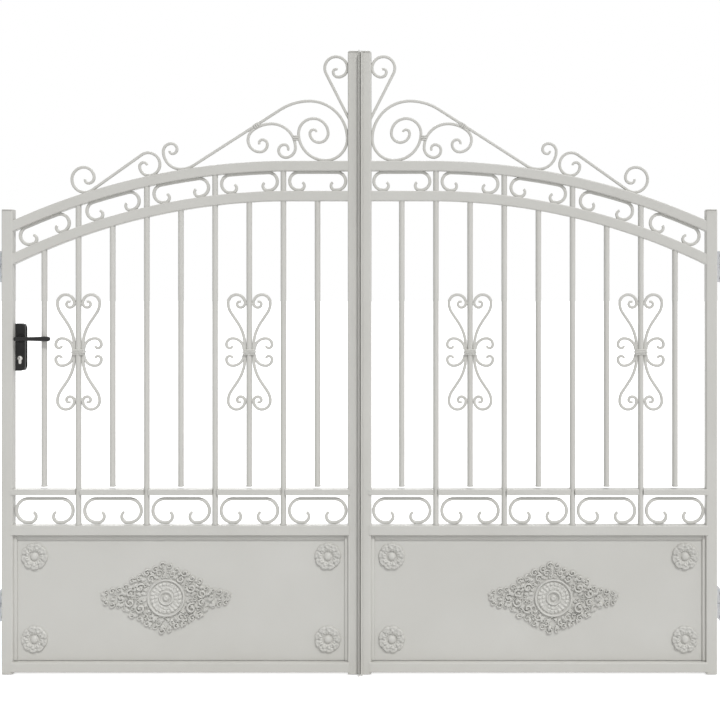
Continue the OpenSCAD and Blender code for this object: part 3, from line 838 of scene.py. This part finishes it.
rosette = cast_relief("rosette", rosette_edge, rosette_rise, 22, 126)
for leaf in LEAVES:
    (x0, x1), (_, panel_y), (z0, z1) = leaf.span(leaf.side + "_corner_rosettes")
    half = (z1 - z0) / 2 - abs((z1 - z0) / 2 - ROSETTE_R)
    corners = [(x, z) for x in (x0 + half, x1 - half) for z in (z0 + half, z1 - half)]
    places = [(leaf.at(x, panel_y, z), math.radians(17 + 31 * k), 1.0)
              for k, (x, z) in enumerate(corners)]
    fixed(placed(leaf.side + "_rosettes", rosette, places, COAT), leaf.body,
          leaf.side + "_corner_rosettes")
bpy.data.objects.remove(rosette)

# ---- Centre ornament -------------------------------------------------------------------------
# A cast lozenge of open leafwork about a medallion: a thin groove, a ring of petals, a sunk ring and
# a small boss. Scrolls, leaves and berries are cast with it in one piece.

MEDALLION_R = 67


def medallion_rise(r, turn):
    crumple = math.sin(9 * turn + 0.30 * r) * math.cos(13 * turn - 0.41 * r)
    sunk = 1.4 - 1.2 * bump(r, 57, 3.5) - 1.2 * bump(r, 15.5, 3.5)
    rim = bump(r, 63, 4.5)
    ring = bump(r, 49, 7.5) * (0.20 + 0.80 * abs(math.cos(11 * turn)) ** 0.8)
    row = bump(r, 35, 7) * (0.25 + 0.75 * abs(math.cos(8 * turn + 0.7)) ** 0.8)
    collar_rise = bump(r, 22.5, 4.2)
    boss = bump(r, 0, 11)
    return (sunk + 7.4 * rim + (7.4 * ring + 6.6 * row) * (0.72 + 0.28 * crumple) + 7.4 * collar_rise
            + 8.0 * boss - 2.6 * bump(r, 0, 4))


def closed_casting(name, points, faces):
    """A mesh from loose parts of one surface, its seams closed and its faces turned outward."""
    mesh = bpy.data.meshes.new(name)
    mesh.from_pydata(points, [], faces)
    shape = bmesh.new()
    shape.from_mesh(mesh)
    bmesh.ops.remove_doubles(shape, verts=shape.verts[:], dist=1e-5)
    bmesh.ops.dissolve_degenerate(shape, dist=1e-6, edges=shape.edges[:])
    bmesh.ops.recalc_face_normals(shape, faces=shape.faces[:])
    shape.to_mesh(mesh)
    shape.free()
    return added(name, mesh)


def leaf_casting():
    """A lobed leaf one unit long, veined and lifted at its tip, pointing along x."""
    length, across = 16, 8
    points, faces = [], []
    for i in range(length + 1):
        u = i / length
        half = 0.30 * math.sin(math.pi * min(1, u * 1.02 + 0.01) ** 0.72) ** 0.8
        half *= 1 + 0.24 * math.sin(2 * math.pi * (3.2 * u + 0.1))
        for j in range(across + 1):
            v = 2 * j / across - 1
            dome = math.sqrt(max(0.0, 1 - v * v))
            vein = 0.09 * math.exp(-(v / 0.2) ** 2)
            rise = (0.36 * dome - vein) * (0.5 + 0.5 * math.sin(math.pi * u) + 0.45 * u ** 3)
            points.append((u, -max(0.02, rise), v * half))
    row = across + 1
    for i in range(length):
        for j in range(across):
            a = i * row + j
            faces.append((a, a + 1, a + 1 + row, a + row))
    top = len(points)
    points += [(x, 0.012, z) for x, _, z in points]
    faces += [tuple(top + k for k in reversed(f)) for f in list(faces)]
    rim = ([j for j in range(across)] + [i * row + across for i in range(length)]
           + [length * row + j for j in range(across, 0, -1)] + [i * row for i in range(length, 0, -1)])
    faces += [(a, b, b + top, a + top) for a, b in zip(rim, rim[1:] + rim[:1])]
    return closed_casting("leaf", points, faces)


def curl_casting():
    """A half-round scroll of unit radius about its start, closing in on a ball."""
    steps, across = 44, 8
    points, faces = [], []
    for i in range(steps + 1):
        u = i / steps
        turn = math.radians(420 * u)
        radius = 0.90 - 0.68 * u ** 0.85
        width = 0.08 + 0.17 * min(1, 6 * u) * (1 - 0.30 * u)
        for j in range(across + 1):
            round_turn = math.pi * j / across
            r = radius + width * math.cos(round_turn)
            rise = 0.02 + 2.9 * width * math.sin(round_turn) * (0.75 + 0.35 * u)
            points.append((r * math.cos(turn), -rise, r * math.sin(turn)))
    row = across + 1
    for i in range(steps):
        for j in range(row):
            after = (j + 1) % row
            faces.append((i * row + j, i * row + after, (i + 1) * row + after, (i + 1) * row + j))
    faces.append(tuple(range(row)))
    faces.append(tuple(steps * row + j for j in range(row)))
    return closed_casting("curl", points, faces)


def berry_casting():
    ball = bmesh.new()
    bmesh.ops.create_icosphere(ball, subdivisions=2, radius=1)
    mesh = bpy.data.meshes.new("berry")
    ball.to_mesh(mesh)
    ball.free()
    return added("berry", mesh)


def lozenge(x):
    """Half height in mm of the ornament's outline at x from its middle."""
    x = abs(x)
    return 126 - 0.47 * x if x < 125 else max(27, 67 - 1.05 * (x - 125))


CELL = 15.5
LOBES = ((13, 114, 13), (37, 99, 13), (66, 88, 14), (92, 70, 13), (118, 60, 14), (142, 37, 12),
         (166, 28, 11), (188, 23, 13), (210, 17, 12), (218, 0, 11), (90, 36, 20), (52, 68, 15),
         (126, 16, 17), (24, 88, 13), (158, 4, 13))
medallion = cast_relief("medallion", lambda turn: MEDALLION_R, medallion_rise, 44, 128)
leaf_shape, curl, berry = leaf_casting(), curl_casting(), berry_casting()
for leaf in LEAVES:
    (x0, x1), (_, panel_y), (z0, z1) = leaf.span(leaf.side + "_centre_ornament")
    cx, cz = (x0 + x1) / 2, (z0 + z1) / 2
    wander = random.Random(5)
    fixed(placed(leaf.side + "_medallion", medallion, [(leaf.at(cx, panel_y, cz), 0.0, 1.0)], COAT),
          leaf.body, leaf.side + "_centre_ornament")
    leaves, curls, berries = [], [], []
    for k in range(24):
        turn = 2 * math.pi * (k + wander.uniform(0.3, 0.7)) / 24
        leaves.append((70 * math.cos(turn), 70 * math.sin(turn), math.degrees(turn), 17))
    for flip_z in (1, -1):
        for x, z, size in LOBES:
            for flip_x in (1, -1):
                start = 90 + 60 * flip_x * flip_z + wander.uniform(-25, 25)
                curls.append((flip_x * x, flip_z * z, start, size * wander.uniform(0.9, 1.08)))
                berries.append((flip_x * x, flip_z * z, 0.0, 0.30 * size))
    for i in range(14):
        for j in range(-8, 9):
            x = CELL * (i + 0.5) + wander.uniform(-3, 3)
            z = CELL * (j + 0.5 * (i % 2)) + wander.uniform(-3, 3)
            if math.hypot(x, z) < MEDALLION_R + 6 or abs(z) > lozenge(x) - 14:
                continue
            kind, size, aim = wander.random(), wander.uniform(0.85, 1.2), wander.uniform(-65, 65)
            outward = math.degrees(math.atan2(z, x)) + aim
            for flip_x in (1, -1):
                turned = outward if flip_x > 0 else 180 - outward
                if kind < 0.55:
                    leaves.append((flip_x * x, z, turned, 20 * size))
                elif kind < 0.85:
                    curls.append((flip_x * x, z, turned, 9 * size))
                else:
                    berries.append((flip_x * x, z, 0.0, 4.2 * size))
    for kind, casting, sink, cast_on in (("leaves", leaf_shape, 0, leaves), ("scrolls", curl, 0, curls),
                                         ("berries", berry, 0.25, berries)):
        places = [(leaf.at(cx + leaf.sign * x, panel_y - sink * size, cz + z), -math.radians(aim),
                   size / 1000) for x, z, aim, size in cast_on]
        fixed(placed(f"{leaf.side}_ornament_{kind}", casting, places, COAT), leaf.body)
for casting in (medallion, leaf_shape, curl, berry):
    bpy.data.objects.remove(casting)

# ---- Cover strip -----------------------------------------------------------------------------
# A narrow flat strip on the right leaf, standing on a web, laps over the slot between the two
# meeting stiles when the gate is shut.

strip_low, strip_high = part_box("cover_strip")
strip_middle = (strip_low.x + strip_high.x) / 2
strip_w = 1000 * (strip_high.x - strip_low.x)
web_x0 = strip_middle + 0.004
face = bars("cover_strip_face", [[(strip_middle, strip_low.y + 0.0015, z)
                                  for z in (strip_low.z, strip_high.z)]], strip_w, 3, 1.3, 4)
fixed(face, "right_leaf", "cover_strip")
web = bars("cover_strip_web", [[((web_x0 + strip_high.x) / 2,
                                 (strip_low.y + 0.002 + strip_high.y) / 2, z)
                                for z in (strip_low.z + 0.001, strip_high.z - 0.001)]],
           1000 * (strip_high.x - web_x0), 1000 * (strip_high.y - strip_low.y - 0.002), 0.5, 2)
fixed(web, "right_leaf")

# ---- Lock ------------------------------------------------------------------------------------
# A slim black lock case stands against the hinge stile's inner face between two long plates with a
# raised rim. The plates carry the lever's rings and a nickel profile cylinder.


def black_coat():
    tones = Tones(bpy.data.materials.new("black_coat"))
    place = tones.signal("ShaderNodeTexCoord", "Object")
    grain, handling = tones.noise(place, 1900.0, 2.0), tones.noise(place, 55.0, 3.0)
    paint = tones.signal("ShaderNodeValToRGB", "Color", {"stops": [
        (0.35, (0.0060, 0.0060, 0.0060, 1)), (0.75, (0.0120, 0.0120, 0.0115, 1))]},
        Fac=handling * 0.6 + grain * 0.4)
    bumps = tones.signal("ShaderNodeBump", 0, Strength=0.45, Distance=0.00012, Height=grain)
    return tones.finish(Base_Color=paint, Normal=bumps, Specular_IOR_Level=0.30,
                        Roughness=0.44 + (handling - 0.5) * 0.22)


def nickel():
    tones = Tones(bpy.data.materials.new("satin_nickel"))
    place = tones.signal("ShaderNodeTexCoord", "Object")
    stretched = tones.signal("ShaderNodeMapping", "Vector", Vector=place,
                             Scale=(300.0, 300.0, 5200.0))
    brush = tones.noise(stretched, 1.0, 2.0)
    metal = tones.signal("ShaderNodeValToRGB", "Color", {"stops": [
        (0.3, (0.50, 0.49, 0.47, 1)), (0.7, (0.62, 0.61, 0.58, 1))]}, Fac=brush)
    bumps = tones.signal("ShaderNodeBump", 0, Strength=0.25, Distance=0.00004, Height=brush)
    return tones.finish(Base_Color=metal, Normal=bumps, Metallic=0.9, Roughness=0.30 + brush * 0.14)


BLACK, NICKEL = black_coat(), nickel()


def pressed_plate(outline, y_back, y_face, rim, sink, edge=0.0009):
    """A plate with a rounded edge and its field sunk inside a rim; outline of (x, z) in metres."""
    plate = bmesh.new()
    ring_points = [plate.verts.new((x, y_back, z)) for x, z in outline]
    back = plate.faces.new(ring_points)
    front = bmesh.ops.extrude_face_region(plate, geom=[back])["geom"]
    face = next(f for f in front if isinstance(f, bmesh.types.BMFace))
    bmesh.ops.translate(plate, vec=(0, y_face - y_back, 0), verts=face.verts[:])
    plate.faces.ensure_lookup_table()
    bmesh.ops.bevel(plate, geom=face.edges[:], offset=edge, segments=3, profile=0.5, affect="EDGES")
    side = 1 if y_face > y_back else -1
    face = max(plate.faces, key=lambda f: (side * f.calc_center_median().y, f.calc_area()))
    bmesh.ops.inset_region(plate, faces=[face], thickness=rim)
    bmesh.ops.inset_region(plate, faces=[face], thickness=0.0012, depth=-sink)
    return plate


def turned(profile, centre, around=64):
    """A shape turned about the y axis from (radius, y) in metres, closed at both ends."""
    shape = bmesh.new()
    rows = []
    for r, y in profile:
        rows.append([shape.verts.new((centre[0] + r * math.cos(2 * math.pi * i / around), y,
                                      centre[1] + r * math.sin(2 * math.pi * i / around)))
                     for i in range(around)])
    for low, high in zip(rows, rows[1:]):
        for i in range(around):
            after = (i + 1) % around
            shape.faces.new((low[i], low[after], high[after], high[i]))
    shape.faces.new(rows[0])
    shape.faces.new(rows[-1])
    return shape


left = LEAVES[0]
(case_x0, case_x1), (case_y0, case_y1), (case_z0, case_z1) = left.span("lock_case")
_, (plates_y0, plates_y1), _ = left.span("lock_plates")
(cyl_x0, cyl_x1), (cyl_y0, cyl_y1), (cyl_z0, cyl_z1) = left.span("lock_cylinder")
BARREL_R, TAIL_R = 8.5, 5
cylinder_x = (cyl_x0 + cyl_x1) / 2
cylinder_z = cyl_z1 - BARREL_R
lever_low, lever_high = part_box("lever_handle")
spindle_x = lever_low.x + 0.008
spindle_z = (lever_low.z + lever_high.z) / 2
RING_T, PLATE_T, CORNER_R = 0.003, 0.003, 0.016
RING_PROFILE = ((0.0082, -0.001), (0.0148, -0.001), (0.0148, 0.0012), (0.0136, 0.0030),
                (0.0112, 0.0030), (0.0104, 0.0018), (0.0086, 0.0018))


def plate_outline():
    low, high = left.at(case_x0, 0, case_z0), left.at(case_x1, 0, case_z1)
    points = [(low.x, high.z), (low.x, low.z)]
    for middle_z, first in ((low.z + CORNER_R, -90), (high.z - CORNER_R, 0)):
        for k in range(13):
            turn = math.radians(first + 90 * k / 12)
            points.append((high.x - CORNER_R + CORNER_R * math.cos(turn),
                           middle_z + CORNER_R * math.sin(turn)))
    return points


front_face = plates_y0 / 1000 + RING_T
back_face = plates_y1 / 1000 - RING_T
shapes = [pressed_plate(plate_outline(), front_face + PLATE_T, front_face, 0.0022, 0.0005),
          pressed_plate(plate_outline(), back_face - PLATE_T, back_face, 0.0022, 0.0005)]
for face_y, out in ((front_face, -1), (back_face, 1)):
    shapes.append(turned([(r, face_y + out * rise) for r, rise in RING_PROFILE],
                         (spindle_x, spindle_z)))
fixed(joined("lock_plates_pressed", shapes, BLACK), "left_leaf", "lock_plates", slot="black_coat")
low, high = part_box("lock_case")
fixed(joined("lock_case_box", [slab([low.x, low.y - 0.0002, low.z + 0.002],
                                    [high.x - 0.002, high.y + 0.0002, high.z - 0.002], 0.0015)], BLACK),
      "left_leaf", "lock_case", slot="black_coat")

tail_z = cyl_z0 + TAIL_R
profile = [(cylinder_x + radius * math.cos(math.radians(a)), z + radius * math.sin(math.radians(a)))
           for radius, z, turns in ((BARREL_R, cylinder_z, range(-54, 235, 9)),
                                    (TAIL_R, tail_z, range(180, 361, 15))) for a in turns]
profile = [(left.at(x, 0, 0).x, left.at(0, 0, z).z) for x, z in profile]
middle_y = (cyl_y0 + cyl_y1) / 2000
centre = (left.at(cylinder_x, 0, 0).x, left.at(0, 0, cylinder_z).z)
shapes = []
for end_y, out in ((cyl_y0 / 1000, -1), (cyl_y1 / 1000, 1)):
    shapes.append(pressed_plate(profile, middle_y, end_y, 0.0009, 0.0003, 0.0005))
    shapes.append(turned([(0.0064, end_y - out * 0.001), (0.0064, end_y + out * 0.0002),
                          (0.0058, end_y + out * 0.0007), (0.0010, end_y + out * 0.0007)], centre, 40))
fixed(joined("lock_cylinder_body", shapes, NICKEL), "left_leaf", "lock_cylinder", slot="nickel")
# The keyways are thin black slabs on the cylinder's end faces: painted shade in place of open slots.
keyway_shades = []
for end_y, out in ((cyl_y0 / 1000, -1), (cyl_y1 / 1000, 1)):
    ends = sorted((end_y + out * 0.0002, end_y + out * 0.00085))
    keyway_shades.append(slab([centre[0] - 0.0009, ends[0], centre[1] - 0.0042],
                        [centre[0] + 0.0009, ends[1], centre[1] + 0.0036], 0.0002))
fixed(joined("lock_keyways", keyway_shades, BLACK), "left_leaf", slot="black_coat")

# ---- Lever -----------------------------------------------------------------------------------
# A cast lever pinned to the spindle: a round neck, then a grip that is thin behind the neck and
# swells to a rounded end. The spindle's other end stops at the ring behind.

GRIP_R = 0.009
grip_y = lever_low.y + GRIP_R
lever_l = 1000 * (lever_high.x - spindle_x)
grip_stations = ((-9.0, 0.42), (-7.8, 0.66), (-5, 0.80), (0, 0.85), (6, 0.83), (22, 0.72),
                 (0.48 * lever_l, 0.82), (lever_l - 30, 0.95), (lever_l - 14, 1.0), (lever_l - 8, 0.96),
                 (lever_l - 4, 0.84), (lever_l - 1.4, 0.62), (lever_l, 0.30))
grip_path = [(spindle_x + x / 1000, grip_y, spindle_z) for x, _ in grip_stations]
grip = bars("lever_grip", [grip_path], 2000 * GRIP_R, 2000 * GRIP_R - 1, 1000 * GRIP_R - 1.8, 8,
            BLACK, [[t for _, t in grip_stations]])
fixed(grip, "lever", "lever_handle", slot="black_coat")
neck = [(0.0062, grip_y), (0.0066, grip_y + 0.006), (0.0072, front_face - 0.006),
        (0.0079, front_face - 0.0035), (0.0079, back_face + 0.0032), (0.0068, back_face + 0.0040)]
fixed(joined("lever_spindle", [turned(neck, (spindle_x, spindle_z), 48)], BLACK), "lever",
      slot="black_coat")

# ---- Hinges ----------------------------------------------------------------------------------
# Galvanised steel: a wall plate with four bolt holes and an arm with a pin at each corner of the
# gate, and an eye welded behind the stile that drops over the pin.


def galvanised():
    tones = Tones(bpy.data.materials.new("galvanised_steel"))
    place = tones.signal("ShaderNodeTexCoord", "Object")
    spangle = tones.signal("ShaderNodeTexVoronoi", "Distance", {"feature": "F1"}, Vector=place,
                           Scale=170.0)
    cloud = tones.noise(place, 40.0, 4.0)
    metal = tones.signal("ShaderNodeValToRGB", "Color", {"stops": [
        (0.2, (0.36, 0.37, 0.38, 1)), (0.8, (0.55, 0.56, 0.57, 1))]},
        Fac=spangle * 0.6 + cloud * 0.5)
    bumps = tones.signal("ShaderNodeBump", 0, Strength=0.3, Distance=0.0002, Height=cloud)
    return tones.finish(Base_Color=metal, Normal=bumps, Metallic=0.85,
                        Roughness=0.40 + spangle * 0.25)


ZINC = galvanised()
for node in ("left_wall_hinges", "right_wall_hinges", "left_hinge_eyes", "right_hinge_eyes"):
    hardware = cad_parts[node]
    hardware.data.materials.clear()
    hardware.data.materials.append(ZINC)
